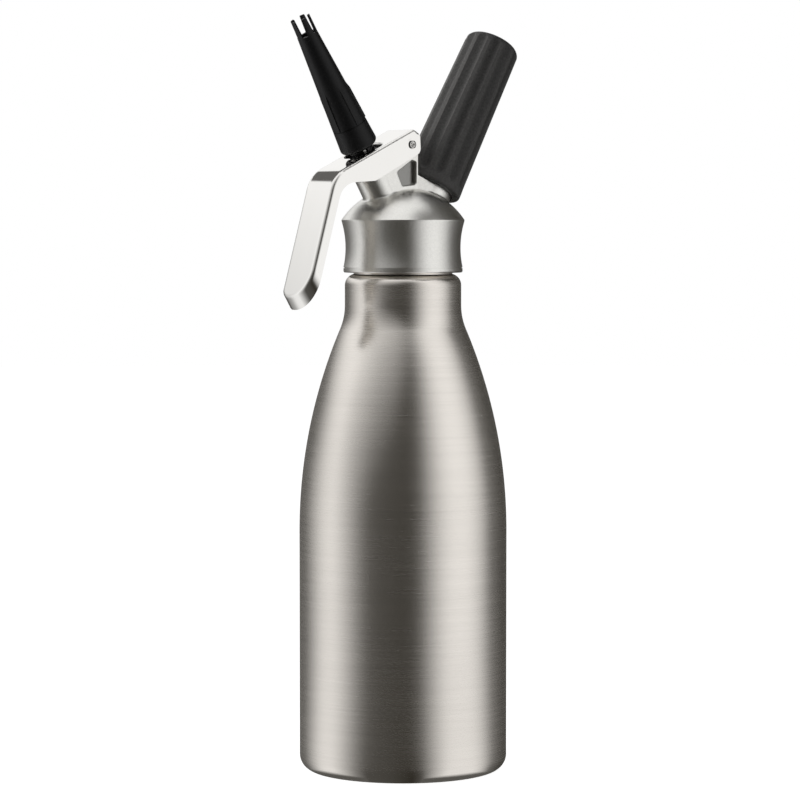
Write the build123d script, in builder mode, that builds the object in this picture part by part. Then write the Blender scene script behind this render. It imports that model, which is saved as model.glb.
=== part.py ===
"""Cream whipper: steel bottle, cast head, squeeze lever, valve, nozzle and gas charger holder.

The frame has its origin at the centre of the bottle's base, +Z up, the nozzle and the lever
towards -X and the charger holder towards +X. Every length is in millimetres, every angle in degrees.
"""
import math
import os

from build123d import *

os.makedirs("parts", exist_ok=True)

# Bottle
body_radius = 45.0
bottle_wall = 1.0
base_corner_radius = 7.0
base_ring_inner = 16.0
base_ring_outer = 22.0
base_ring_rise = 1.2
base_ring_run = 0.9
shoulder_radius = 225.0
neck_fillet = 27.0
neck_radius = 25.2
neck_top = 211.0
neck_straight = 8.6
neck_corner_radius = 5.0
thread_radius = 21.9
rim_top = 231.4
rim_rounding = 0.4

# Head casting
collar_bottom = 216.5
collar_bottom_radius = 25.8
collar_bottom_rounding = 0.7
bead_top = 218.3
bead_groove_depth = 0.4
bead_groove_height = 0.45
waist_radius = 24.9
waist_height = 226.4
collar_top = 239.2
collar_top_radius = 26.6
collar_top_land = 0.5
dome_radius = 31.8
dome_centre = 221.8
dome_inner_radius = 26.5
thread_clearance = 0.35
head_shelf = 233.5
cavity_radius = 18.8
gasket_inner_radius = 19.2
gasket_outer_radius = 22.1
gasket_rounding = 0.5

# Slanted axes: lean from upright towards -X, and the point that lengths along each are measured from
nozzle_lean = 30.0
nozzle_datum_x = 1.3
nozzle_datum_z = 228.0
charger_lean = -29.0
charger_datum_x = 0.0
charger_datum_z = 227.3

# Clearances
face_gap = 0.05
running_fit = 0.05
pin_fit = 0.01
lever_gap = 0.34
nozzle_gap = 0.4

# Valve, measured along the nozzle's axis from its datum
boss_radius = 8.0
boss_top = 36.1
boss_root_fillet = 1.2
seat_face = 20.5
seat_boss_radius = 7.3
seat_bore_radius = 4.4
bush_shoulder = 22.5
bush_bore_radius = 5.0
spring_floor = 28.0
spring_pocket_radius = 6.3
spot_face_reach = 8.0
inner_boss_root = 24.0
stem_radius = 3.5
stem_bore_radius = 2.2
stem_bore_floor = 20.9
stem_port_radius = 0.75
stem_port_level = 21.65
stem_flange_radius = 5.9
stem_flange_height = 1.6
stem_thread_radius = 4.4
stem_reach = 8.3
stud_radius = 2.4
stud_end = 14.2
stem_chamfer = 0.4
seal_radius = 6.6
seal_thickness = 2.0
seal_rounding = 0.3
washer_radius = 6.2
washer_thickness = 1.25
valve_nut_height = 2.6
valve_nut_flats = 8.0
o_ring_section = 1.4
bush_height = 3.3
bush_flange_radius = 6.1
bush_flange_height = 1.0
spring_mean_radius = 5.45
spring_wire = 1.1
spring_turns = 4.25
spring_steps_per_turn = 4
spring_samples_per_turn = 48

# Presser plate under the lever
pad_half_width = 8.2
pad_half_length = 10.0
pad_corner_radius = 5.0
pad_thickness = 3.6
pad_drop_outer = 1.6
pad_drop_inner = 0.7
pad_hub_radius = 5.6
pad_hub_rise = 3.25
pad_notch_depth = 1.5
pad_notch_width = 2.2
pad_notch_turns = (-104.0, -14.0)

# Nozzle
nozzle_length = 62.3
nozzle_base_radius = 8.4
nozzle_base_rounding = 1.8
nozzle_top_radius = 4.45
nozzle_tooth_root_radius = 4.55
nozzle_seam_rise = 10.8
nozzle_seam_depth = 0.35
nozzle_seam_height = 0.5
insert_sink = 0.6
insert_length = 8.2
insert_radius = 6.4
nozzle_throat_radius = 5.0
nozzle_bore_radius = 3.3
nozzle_bore_length = 19.0
rib_count = 5
rib_turn = -94.6
rib_width = 1.3
rib_foot_height = 0.35
rib_head_height = 0.5
rib_root = 0.8
rib_reach = 25.8
rib_run_out = 3.0
tooth_count = 5
tooth_slot_turn = -68.6
tooth_depth = 7.6
tooth_slot_bottom = 2.4
tooth_slot_top = 3.2
tooth_slot_rounding = 0.3
tooth_tip_rounding = 0.4
tooth_overrun = 1.0

# Web and gusset of the head
web_half_thickness = 7.95
web_right = 2.1
web_left_offset = 10.65
web_step = 2.65
web_foot = 249.0
web_foot_left = -12.0
lug_radius = 4.1
lug_half_width = 8.35
gusset_top = 28.7
gusset_reach = 14.5
gusset_flare = 16.0
gusset_inset = 0.1
pocket_depth = 1.9
pocket_tilt = 8.0
pocket_rounding = 1.2
pocket_rim = 0.5
pocket_corners = ((-9.0, 259.7), (-0.9, 264.9), (1.0, 264.3), (1.0, 254.4), (-6.2, 253.7))

# Lever, a pressed channel
pivot_x = -2.3
pivot_z = 271.5
lever_width = 19.6
lever_sheet = 1.2
strap_rise = 5.6
strap_slope = 25.4
strap_tail = 2.7
strap_length = 42.2
bend_radius = 14.0
handle_lean = 15.8
handle_length = 58.3
handle_depth = 4.9
toe_set_back = 4.6
cheek_depth = 10.6
lobe_along = 24.2
lobe_depth = 11.4
taper_along = 37.0
taper_depth = 6.3
strap_tip = 3.4
tail_top_along = 5.6
tail_top_below = 3.6
tail_top_rounding = 2.5
tail_bottom_rounding = 3.0
lobe_rounding = 4.0
inner_bend_radius = 9.0
toe_near_radius = 14.0
toe_far_radius = 4.5
lever_edge_rounding = 1.5
slot_start = 10.3
slot_end = 26.3
slot_half_width = 7.4
slot_corner_radius = 5.0
cavity_overrun = 30.0
pin_radius = 1.65
pin_proud = 0.35
pin_chamfer = 0.2
pin_dimple_radius = 1.05
pin_dimple_depth = 0.55
pin_recess_radius = 2.05
pin_recess_depth = 0.6

# Charger side, measured along its axis from its datum
inlet_neck_radius = 10.3
inlet_neck_top = 30.2
inlet_root_fillet = 1.2
spigot_radius = 10.6
spigot_top = 40.0
spigot_chamfer = 0.8
charger_bore_radius = 4.8
charger_bore_floor = 31.2
inlet_bore_radius = 2.35
inlet_seat = 20.5
inlet_boss_radius = 6.0
inlet_spot_reach = 12.0
needle_flange_radius = 4.6
needle_flange_top = 32.6
needle_radius = 1.1
needle_tip = 37.0
needle_point = 0.45
needle_stem_radius = 2.2
needle_stem_end = 13.5
needle_gas_radius = 0.6
needle_gas_end = 15.3
needle_port_level = 16.2
needle_port_radius = 0.4
charger_seal_inner = 1.7
charger_seal_outer = 4.7
charger_seal_top = 34.0
inlet_seal_radius = 5.2
inlet_seal_thickness = 1.0
inlet_nut_flats = 8.0
inlet_nut_height = 1.65
sleeve_radius = 3.4
sleeve_bottom = 14.0
sleeve_top = 17.6
charger_end = 99.5
charger_radius = 9.3
charger_wall = 1.3
charger_neck_radius = 4.45
charger_neck_top = 41.5
charger_shoulder_top = 49.0
charger_hole_radius = 1.35
charger_lip = 1.4

# Charger holder
holder_bottom = 29.1
holder_top = 103.2
holder_bottom_radius = 13.85
holder_top_radius = 12.15
holder_bottom_rounding = 1.5
holder_top_rounding = 4.2
holder_crown = 0.7
holder_mouth_radius = 10.95
holder_mouth_end = 41.0
holder_bore_radius = 9.65
flute_count = 12
flute_radius = 5.0
flute_depth = 0.85
flute_start = 35.6
flute_overrun = 3.0


def slanted(line, along, out=0.0):
    """Row-frame point at a distance along a slanted axis and out from it."""
    lean, start_x, start_z = line
    turn = math.radians(lean)
    x = start_x - along * math.sin(turn) + out * math.cos(turn)
    z = start_z + along * math.cos(turn) + out * math.sin(turn)
    return (x, 0.0, z)


def section_of(line):
    """Plane through a slanted axis: local X runs outward from it and local Y along it."""
    turn = math.radians(line[0])
    return Plane(origin=slanted(line, 0.0), x_dir=(math.cos(turn), 0, math.sin(turn)), z_dir=(0, -1, 0))


def across(line, along):
    """Plane square to a slanted axis at a distance along it, with local Y along the row's Y."""
    turn = math.radians(line[0])
    return Plane(
        origin=slanted(line, along),
        x_dir=(math.cos(turn), 0, math.sin(turn)),
        z_dir=(-math.sin(turn), 0, math.cos(turn)),
    )


def axis_of(line):
    """Slanted axis as a build axis."""
    turn = math.radians(line[0])
    return Axis(slanted(line, 0.0), (-math.sin(turn), 0, math.cos(turn)))


def written(piece, label):
    """Names a finished piece and writes its STEP file."""
    piece.part.label = label
    export_step(piece.part, f"parts/{label}.step")


def turned(label, line, outline):
    """Piece turned round a slanted axis from points given as (radius, distance along)."""
    with BuildPart() as piece:
        with BuildSketch(section_of(line)):
            with BuildLine():
                Polyline(*outline, close=True)
            make_face()
        revolve(axis=axis_of(line))
    written(piece, label)


def hex_nut(label, line, bottom, height, flats, bore):
    """Hexagon nut on a slanted axis."""
    with BuildPart() as piece:
        with BuildSketch(across(line, bottom)):
            RegularPolygon(radius=flats / 2, side_count=6, major_radius=False)
            Circle(bore, mode=Mode.SUBTRACT)
        extrude(amount=height)
    written(piece, label)


nozzle_line = (nozzle_lean, nozzle_datum_x, nozzle_datum_z)
charger_line = (charger_lean, charger_datum_x, charger_datum_z)
nozzle_axis = axis_of(nozzle_line)
charger_axis = axis_of(charger_line)


def bottle_wall_points(inset):
    """Corners of the bottle's wall line from the base's centre up to the rim, moved in by inset."""
    ring_shift = inset * (math.hypot(base_ring_run, base_ring_rise) - base_ring_run) / base_ring_rise
    across_gap = neck_radius + neck_fillet - body_radius + shoulder_radius
    centre_rise = math.sqrt((shoulder_radius + neck_fillet) ** 2 - across_gap ** 2)
    barrel_top = neck_top - neck_straight - centre_rise
    arc = shoulder_radius - inset
    reach = shoulder_radius + neck_fillet
    corner = neck_corner_radius - inset
    corner_centre = neck_radius - neck_corner_radius
    corner_rise = math.sqrt(corner ** 2 - (thread_radius - inset - corner_centre) ** 2)
    return {
        "centre": (0, inset),
        "ring_1": (base_ring_inner - ring_shift, inset),
        "ring_2": (base_ring_inner + base_ring_run - ring_shift, base_ring_rise + inset),
        "ring_3": (base_ring_outer - base_ring_run + ring_shift, base_ring_rise + inset),
        "ring_4": (base_ring_outer + ring_shift, inset),
        "corner": (body_radius - base_corner_radius, inset),
        "barrel_low": (body_radius - inset, base_corner_radius),
        "barrel_high": (body_radius - inset, barrel_top),
        "shoulder": (
            body_radius - shoulder_radius + arc * across_gap / reach,
            barrel_top + arc * centre_rise / reach,
        ),
        "neck_low": (neck_radius - inset, barrel_top + centre_rise),
        "neck_high": (neck_radius - inset, neck_top),
        "thread": (thread_radius - inset, neck_top + corner_rise),
        "rim": (thread_radius - inset, rim_top),
    }


with BuildPart() as bottle:
    with BuildSketch(Plane.XZ):
        with BuildLine():
            ends = []
            for inset in (0.0, bottle_wall):
                at = bottle_wall_points(inset)
                Polyline(at["centre"], at["ring_1"], at["ring_2"], at["ring_3"], at["ring_4"], at["corner"])
                TangentArc(at["corner"], at["barrel_low"], tangent=(1, 0))
                Line(at["barrel_low"], at["barrel_high"])
                TangentArc(at["barrel_high"], at["shoulder"], tangent=(0, 1))
                TangentArc(at["neck_low"], at["shoulder"], tangent=(0, -1))
                Line(at["neck_low"], at["neck_high"])
                TangentArc(at["neck_high"], at["thread"], tangent=(0, 1))
                Line(at["thread"], at["rim"])
                ends.append((at["centre"], at["rim"]))
            Line(ends[0][0], ends[1][0])
            Line(ends[0][1], ends[1][1])
        make_face()
    revolve(axis=Axis.Z)
    fillet(bottle.edges().group_by(Axis.Z)[-1], rim_rounding)
written(bottle, "bottle")

with BuildPart() as head_gasket:
    with BuildSketch(Plane.XZ):
        with BuildLine():
            Polyline(
                (gasket_inner_radius, rim_top + face_gap),
                (gasket_outer_radius, rim_top + face_gap),
                (gasket_outer_radius, head_shelf - face_gap),
                (gasket_inner_radius, head_shelf - face_gap),
                close=True,
            )
        make_face()
    revolve(axis=Axis.Z)
    fillet(head_gasket.edges(), gasket_rounding)
written(head_gasket, "head_gasket")


def dome_height(radius, sphere):
    """Height of a sphere about the dome's centre at a radius from the bottle's axis."""
    return dome_centre + math.sqrt(sphere ** 2 - radius ** 2)


def from_nozzle(along, out):
    """Front-view point (X, Z) at a distance along the nozzle's axis and out from it."""
    x, _, z = slanted(nozzle_line, along, out)
    return (x, z)


def tangent_point(start, centre, radius):
    """Touch point of the left-hand tangent from a point to a circle."""
    dx, dz = centre[0] - start[0], centre[1] - start[1]
    heading = math.atan2(dz, dx) + math.asin(radius / math.hypot(dx, dz))
    reach = math.sqrt(dx * dx + dz * dz - radius * radius)
    return (start[0] + reach * math.cos(heading), start[1] + reach * math.sin(heading))


def strap_point(along, below):
    """Front-view point (X, Z) along the lever's strap from its pivot and below its outer face."""
    turn = math.radians(strap_slope)
    out = strap_rise - below
    x = pivot_x - along * math.cos(turn) - out * math.sin(turn)
    return (x, pivot_z - along * math.sin(turn) + out * math.cos(turn))


def crossing(a, b, c, d):
    """Crossing point of the line through a and b with the line through c and d."""
    run = (b[0] - a[0], b[1] - a[1])
    other = (d[0] - c[0], d[1] - c[1])
    share = ((c[0] - a[0]) * other[1] - (c[1] - a[1]) * other[0]) / (run[0] * other[1] - run[1] * other[0])
    return (a[0] + share * run[0], a[1] + share * run[1])


# Levels along the nozzle's axis, all taken from where it meets the underside of the lever's strap
strap_underside = crossing(
    from_nozzle(0.0, 0.0),
    from_nozzle(boss_top, 0.0),
    strap_point(0.0, lever_sheet),
    strap_point(strap_length, lever_sheet),
)
pad_ridge = math.dist(from_nozzle(0.0, 0.0), strap_underside) - lever_gap
stem_flange_top = pad_ridge - pad_thickness
stem_flange_bottom = stem_flange_top - stem_flange_height
pad_hub_top = pad_ridge + pad_hub_rise
nozzle_base = pad_hub_top + nozzle_gap
nozzle_top = nozzle_base + nozzle_length
nozzle_seam = nozzle_base + nozzle_seam_rise
rib_top = nozzle_base + rib_reach
insert_bottom = nozzle_base + insert_sink
insert_top = insert_bottom + insert_length
stem_top = nozzle_base + stem_reach
print("presser plate's ridge along the nozzle's axis", round(pad_ridge, 3))

pivot = (pivot_x, pivot_z)
web_nose = from_nozzle(pad_ridge - web_step, web_left_offset)

with BuildPart() as head:
    # Collar and dome
    with BuildSketch(Plane.XZ):
        with BuildLine():
            low = (collar_bottom_radius, bead_top + bead_groove_height)
            high = (collar_top_radius, collar_top - collar_top_land)
            Polyline(
                (0, collar_bottom),
                (collar_bottom_radius, collar_bottom),
                (collar_bottom_radius, bead_top),
                (collar_bottom_radius - bead_groove_depth, bead_top),
                (collar_bottom_radius - bead_groove_depth, bead_top + bead_groove_height),
                low,
            )
            ThreePointArc(low, (waist_radius, waist_height), high)
            dome_edge = (collar_top_radius, dome_height(collar_top_radius, dome_radius))
            Line(high, dome_edge)
            RadiusArc(dome_edge, (0, dome_centre + dome_radius), -dome_radius)
            Line((0, dome_centre + dome_radius), (0, collar_bottom))
        make_face()
    revolve(axis=Axis.Z)
    fillet(head.edges().group_by(Axis.Z)[0], collar_bottom_rounding)
    # Boss of the valve
    with BuildSketch(across(nozzle_line, seat_face)):
        Circle(boss_radius)
    extrude(amount=boss_top - seat_face)
    fillet(head.edges(Select.NEW).filter_by(GeomType.CIRCLE, reverse=True), boss_root_fillet)
    # Neck and threaded spigot of the charger side
    with BuildSketch(section_of(charger_line)):
        with BuildLine():
            Polyline(
                (0, inlet_seat),
                (inlet_neck_radius, inlet_seat),
                (inlet_neck_radius, inlet_neck_top),
                (spigot_radius, inlet_neck_top),
                (spigot_radius, spigot_top - spigot_chamfer),
                (spigot_radius - spigot_chamfer, spigot_top),
                (0, spigot_top),
                close=True,
            )
        make_face()
    revolve(axis=charger_axis)
    fillet(head.edges(Select.NEW).filter_by(GeomType.CIRCLE, reverse=True), inlet_root_fillet)
    # Web that carries the lever
    with BuildSketch(Plane.XZ):
        with BuildLine():
            Polyline(
                (web_foot_left, web_foot),
                from_nozzle(boss_top, 0.0),
                from_nozzle(boss_top, web_left_offset),
                web_nose,
                tangent_point(web_nose, pivot, lug_radius),
                pivot,
                (web_right, pivot_z),
                (web_right, web_foot),
                close=True,
            )
        make_face()
        with Locations(pivot):
            Circle(lug_radius)
    extrude(amount=web_half_thickness, both=True)
    # Bearing faces of the lever's pivot
    with BuildSketch(Plane.XZ):
        with Locations(pivot):
            Circle(lug_radius)
    extrude(amount=lug_half_width, both=True)
    # Gusset that fans out from the web to the sides of the charger's neck
    flare = math.radians(gusset_flare)
    fan_radius = inlet_neck_radius - gusset_inset
    fan_near = (-fan_radius * math.sin(flare), fan_radius * math.cos(flare))
    fan_far = (-gusset_reach, (fan_radius - gusset_reach * math.sin(flare)) / math.cos(flare))
    with BuildSketch(across(charger_line, inlet_seat)):
        with BuildLine():
            Polyline(fan_near, fan_far, (fan_far[0], -fan_far[1]), (fan_near[0], -fan_near[1]), close=True)
        make_face()
    extrude(amount=gusset_top - inlet_seat)
    # Thread bore, shelf for the gasket and the chamber under the dome
    with BuildSketch(Plane.XZ):
        with BuildLine():
            spring_line = (cavity_radius, dome_height(cavity_radius, dome_inner_radius))
            Polyline(
                (0, collar_bottom - face_gap),
                (thread_radius + thread_clearance, collar_bottom - face_gap),
                (thread_radius + thread_clearance, head_shelf),
                (cavity_radius, head_shelf),
                spring_line,
            )
            RadiusArc(spring_line, (0, dome_centre + dome_inner_radius), -dome_inner_radius)
            Line((0, dome_centre + dome_inner_radius), (0, collar_bottom - face_gap))
        make_face()
    revolve(axis=Axis.Z, mode=Mode.SUBTRACT)
    # Flat seats inside the chamber
    with BuildSketch(across(nozzle_line, seat_face)):
        Circle(seat_boss_radius)
    extrude(amount=inner_boss_root - seat_face)
    with BuildSketch(across(charger_line, inlet_seat)):
        Circle(inlet_boss_radius)
    extrude(amount=inner_boss_root - inlet_seat)
    with BuildSketch(across(nozzle_line, seat_face)):
        Circle(seat_boss_radius)
    extrude(amount=spot_face_reach - seat_face, mode=Mode.SUBTRACT)
    with BuildSketch(across(charger_line, inlet_seat)):
        Circle(inlet_boss_radius)
    extrude(amount=inlet_spot_reach - inlet_seat, mode=Mode.SUBTRACT)
    # Stepped bore of the valve
    with BuildSketch(section_of(nozzle_line)):
        with BuildLine():
            Polyline(
                (0, seat_face - face_gap),
                (seat_bore_radius, seat_face - face_gap),
                (seat_bore_radius, bush_shoulder),
                (bush_bore_radius, bush_shoulder),
                (bush_bore_radius, spring_floor),
                (spring_pocket_radius, spring_floor),
                (spring_pocket_radius, boss_top + face_gap),
                (0, boss_top + face_gap),
                close=True,
            )
        make_face()
    revolve(axis=nozzle_axis, mode=Mode.SUBTRACT)
    # Stepped bore of the charger side
    with BuildSketch(section_of(charger_line)):
        with BuildLine():
            Polyline(
                (0, inlet_seat - face_gap),
                (inlet_bore_radius, inlet_seat - face_gap),
                (inlet_bore_radius, charger_bore_floor),
                (charger_bore_radius, charger_bore_floor),
                (charger_bore_radius, spigot_top + face_gap),
                (0, spigot_top + face_gap),
                close=True,
            )
        make_face()
    revolve(axis=charger_axis, mode=Mode.SUBTRACT)
    # Hole for the lever's pin
    with BuildSketch(Plane.XZ):
        with Locations(pivot):
            Circle(pin_radius + pin_fit)
    extrude(amount=lug_half_width + face_gap, both=True, mode=Mode.SUBTRACT)
    # Sunk panel on each side of the web, a little deeper towards the charger
    tilt = math.radians(pocket_tilt)
    for side in (-1, 1):
        floor = Plane(
            origin=(0, side * (web_half_thickness - pocket_depth), 0),
            x_dir=(math.cos(tilt), -side * math.sin(tilt), 0),
            z_dir=(-side * math.sin(tilt), -math.cos(tilt), 0),
        )
        with BuildSketch(floor):
            with BuildLine():
                FilletPolyline(*pocket_corners, radius=pocket_rounding, close=True)
            make_face()
        extrude(amount=-side * (pocket_depth + lug_half_width), mode=Mode.SUBTRACT)
        face = side * web_half_thickness
        rims = head.edges(Select.NEW).filter_by_position(Axis.Y, face - face_gap, face + face_gap)
        fillet(rims, pocket_rim)
written(head, "head")

# Valve, from the chamber upward
seal_bottom = seat_face - face_gap - seal_thickness
washer_bottom = seal_bottom - washer_thickness
turned(
    "valve_washer",
    nozzle_line,
    (
        (stud_radius + running_fit, washer_bottom),
        (washer_radius, washer_bottom),
        (washer_radius, seal_bottom),
        (stud_radius + running_fit, seal_bottom),
    ),
)
turned(
    "valve_seal",
    nozzle_line,
    (
        (stud_radius + running_fit, seal_bottom),
        (seal_radius - seal_rounding, seal_bottom),
        (seal_radius, seal_bottom + seal_rounding),
        (seal_radius, seal_bottom + seal_thickness - seal_rounding),
        (seal_radius - seal_rounding, seal_bottom + seal_thickness),
        (stud_radius + running_fit, seal_bottom + seal_thickness),
    ),
)
hex_nut(
    "valve_nut",
    nozzle_line,
    washer_bottom - valve_nut_height,
    valve_nut_height,
    valve_nut_flats,
    stud_radius + running_fit,
)

with BuildPart() as valve_stem:
    stem_shoulder = seat_face - face_gap
    with BuildSketch(section_of(nozzle_line)):
        with BuildLine():
            Polyline(
                (0, stud_end),
                (stud_radius - stem_chamfer, stud_end),
                (stud_radius, stud_end + stem_chamfer),
                (stud_radius, stem_shoulder),
                (stem_radius, stem_shoulder),
                (stem_radius, stem_flange_bottom),
                (stem_flange_radius, stem_flange_bottom),
                (stem_flange_radius, stem_flange_top),
                (stem_thread_radius, stem_flange_top),
                (stem_thread_radius, stem_top - stem_chamfer),
                (stem_thread_radius - stem_chamfer, stem_top),
                (stem_bore_radius, stem_top),
                (stem_bore_radius, stem_bore_floor),
                (0, stem_bore_floor),
                close=True,
            )
        make_face()
    revolve(axis=nozzle_axis)
    port_centre = slanted(nozzle_line, stem_port_level)
    for port_plane in (
        Plane(origin=port_centre, z_dir=(0, 1, 0)),
        Plane(origin=port_centre, z_dir=across(nozzle_line, 0.0).x_dir),
    ):
        with BuildSketch(port_plane):
            Circle(stem_port_radius)
        extrude(amount=stem_radius + face_gap, both=True, mode=Mode.SUBTRACT)
written(valve_stem, "valve_stem")

with BuildPart() as stem_o_ring:
    with BuildSketch(section_of(nozzle_line)):
        o_ring_level = bush_shoulder + face_gap + o_ring_section / 2
        with Locations(((stem_radius + bush_bore_radius) / 2, o_ring_level)):
            Circle(o_ring_section / 2)
    revolve(axis=nozzle_axis)
written(stem_o_ring, "stem_o_ring")

bush_flange_top = spring_floor + bush_flange_height
turned(
    "stem_bush",
    nozzle_line,
    (
        (stem_radius + running_fit, spring_floor - bush_height),
        (bush_bore_radius - pin_fit, spring_floor - bush_height),
        (bush_bore_radius - pin_fit, spring_floor),
        (bush_flange_radius, spring_floor),
        (bush_flange_radius, bush_flange_top),
        (stem_radius + running_fit, bush_flange_top),
    ),
)


def coil_point(turns, low, pitch):
    """Point and unit direction of the spring's centre line after a number of turns."""
    frame = across(nozzle_line, low + pitch * turns)
    angle = math.tau * turns
    radial = frame.x_dir * math.cos(angle) + frame.y_dir * math.sin(angle)
    sideways = frame.y_dir * math.cos(angle) - frame.x_dir * math.sin(angle)
    heading = sideways * (math.tau * spring_mean_radius) + frame.z_dir * pitch
    return frame.origin + radial * spring_mean_radius, heading.normalized()


def arc_join(start, start_dir, end, end_dir):
    """Point and direction where two arcs meet that join two directed points smoothly."""
    gap = end - start
    both = start_dir + end_dir
    square = 2 * (1 - start_dir.dot(end_dir))
    cross = gap.dot(both)
    handle = (math.sqrt(cross * cross + square * gap.dot(gap)) - cross) / square
    leave = start + start_dir * handle
    arrive = end - end_dir * handle
    return (leave + arrive) * 0.5, (arrive - leave).normalized()


with BuildPart() as valve_spring:
    spring_low = bush_flange_top + face_gap + spring_wire / 2
    spring_high = stem_flange_bottom - face_gap - spring_wire / 2
    spring_pitch = (spring_high - spring_low) / spring_turns
    steps = round(spring_turns * spring_steps_per_turn)
    with BuildLine() as coil:
        for step in range(steps):
            begin, begin_dir = coil_point(step / spring_steps_per_turn, spring_low, spring_pitch)
            end, end_dir = coil_point((step + 1) / spring_steps_per_turn, spring_low, spring_pitch)
            middle, middle_dir = arc_join(begin, begin_dir, end, end_dir)
            TangentArc(begin, middle, tangent=begin_dir)
            TangentArc(middle, end, tangent=middle_dir)
    first, first_dir = coil_point(0.0, spring_low, spring_pitch)
    with BuildSketch(Plane(origin=first, z_dir=first_dir)):
        Circle(spring_wire / 2)
    sweep(path=coil.line)
written(valve_spring, "valve_spring")
samples = [
    coil_point(index / spring_samples_per_turn, spring_low, spring_pitch)[0]
    for index in range(round(spring_turns * spring_samples_per_turn) + 1)
]
least_reach = min(
    (here - there).length
    for index, here in enumerate(samples)
    for there in samples[index + spring_samples_per_turn // 2:]
)
print("least gap between the spring's turns", round(least_reach - spring_wire, 2))

with BuildPart() as lever_pad:
    with BuildSketch(section_of(nozzle_line)):
        with BuildLine():
            Polyline(
                (-pad_half_length, stem_flange_top),
                (pad_half_length, stem_flange_top),
                (pad_half_length, pad_ridge - pad_drop_inner),
                (0, pad_ridge),
                (-pad_half_length, pad_ridge - pad_drop_outer),
                close=True,
            )
        make_face()
    extrude(amount=pad_half_width, both=True)
    fillet(lever_pad.edges().filter_by(Axis((0, 0, 0), nozzle_axis.direction)), pad_corner_radius)
    with BuildSketch(across(nozzle_line, stem_flange_top)):
        Circle(pad_hub_radius)
    extrude(amount=pad_hub_top - stem_flange_top)
    with BuildSketch(across(nozzle_line, pad_hub_top)):
        for angle in pad_notch_turns:
            with Locations(Rotation(0, 0, angle)):
                Rectangle(2 * pad_hub_radius + pad_notch_width, pad_notch_width)
    extrude(amount=-pad_notch_depth, mode=Mode.SUBTRACT)
    with BuildSketch(across(nozzle_line, stem_flange_top)):
        Circle(stem_thread_radius + running_fit)
    extrude(amount=pad_hub_top - stem_flange_top, mode=Mode.SUBTRACT)
written(lever_pad, "lever_pad")

# Nozzle
tooth_root = nozzle_top - tooth_depth
nozzle_taper = (nozzle_base_radius - nozzle_tooth_root_radius) / (tooth_root - nozzle_base)


def nozzle_radius(along):
    """Outside radius of the nozzle's cone."""
    return nozzle_base_radius - nozzle_taper * (along - nozzle_base)


turned(
    "nozzle_insert",
    nozzle_line,
    (
        (stem_thread_radius + running_fit, insert_bottom),
        (insert_radius, insert_bottom),
        (insert_radius, insert_top),
        (stem_thread_radius + running_fit, insert_top),
    ),
)

with BuildPart() as nozzle:
    seam_top = nozzle_seam + nozzle_seam_height
    with BuildSketch(section_of(nozzle_line)):
        with BuildLine():
            Polyline(
                (insert_radius + pin_fit, nozzle_base),
                (nozzle_base_radius, nozzle_base),
                (nozzle_radius(nozzle_seam), nozzle_seam),
                (nozzle_radius(nozzle_seam) - nozzle_seam_depth, nozzle_seam),
                (nozzle_radius(seam_top) - nozzle_seam_depth, seam_top),
                (nozzle_radius(seam_top), seam_top),
                (nozzle_tooth_root_radius, tooth_root),
                (nozzle_top_radius, nozzle_top + face_gap),
                (nozzle_bore_radius, nozzle_top + face_gap),
                (nozzle_bore_radius, nozzle_top - nozzle_bore_length),
                (nozzle_throat_radius, insert_top + face_gap),
                (insert_radius + pin_fit, insert_top + face_gap),
                close=True,
            )
        make_face()
    revolve(axis=nozzle_axis)
    base_rim = nozzle.edges().filter_by(GeomType.CIRCLE).sort_by(nozzle_axis)[:2]
    fillet(base_rim.sort_by(SortBy.RADIUS)[-1], nozzle_base_rounding)
    # Grip ribs above the seam, which run out towards the tip
    frame = across(nozzle_line, 0.0)
    rib_end = rib_top + rib_run_out
    for index in range(rib_count):
        turn = math.radians(rib_turn) + math.tau * index / rib_count
        radial = frame.x_dir * math.cos(turn) + frame.y_dir * math.sin(turn)
        with BuildSketch(Plane(origin=frame.origin, x_dir=radial, z_dir=radial.cross(frame.z_dir))):
            with BuildLine():
                Polyline(
                    (nozzle_radius(seam_top) - rib_root, seam_top),
                    (nozzle_radius(seam_top) + rib_foot_height, seam_top),
                    (nozzle_radius(rib_top) + rib_head_height, rib_top),
                    (nozzle_radius(rib_end) - face_gap, rib_end),
                    (nozzle_radius(rib_end) - rib_root, rib_end),
                    close=True,
                )
            make_face()
        extrude(amount=rib_width / 2, both=True)
    # Slots between the teeth, which also round and trim the teeth's tips
    tip_reach = nozzle_top_radius * math.pi / tooth_count
    slot_roundings = (tooth_slot_rounding, tooth_slot_rounding, tooth_tip_rounding)
    for index in range(tooth_count):
        turn = math.radians(tooth_slot_turn) + math.tau * index / tooth_count
        radial = frame.x_dir * math.cos(turn) + frame.y_dir * math.sin(turn)
        slot_foot = slanted(nozzle_line, tooth_root)
        with BuildSketch(Plane(origin=slot_foot, x_dir=frame.z_dir.cross(radial), z_dir=radial)):
            with BuildLine():
                FilletPolyline(
                    (-tooth_slot_bottom / 2, 0),
                    (tooth_slot_bottom / 2, 0),
                    (tooth_slot_top / 2, tooth_depth),
                    (tip_reach, tooth_depth),
                    (tip_reach, tooth_depth + tooth_overrun),
                    (-tip_reach, tooth_depth + tooth_overrun),
                    (-tip_reach, tooth_depth),
                    (-tooth_slot_top / 2, tooth_depth),
                    radius=(*slot_roundings, 0, 0, 0, 0, tooth_tip_rounding),
                    close=True,
                )
            make_face()
        extrude(amount=nozzle_base_radius, mode=Mode.SUBTRACT)
written(nozzle, "nozzle")


# Lever
def handle_point(along, below):
    """Front-view point (X, Z) down the lever's handle from the bend and in from its outer face."""
    turn = math.radians(handle_lean)
    start = strap_point(strap_length, 0.0)
    x = start[0] - along * math.sin(turn) + below * math.cos(turn)
    return (x, start[1] - along * math.cos(turn) - below * math.sin(turn))


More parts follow.
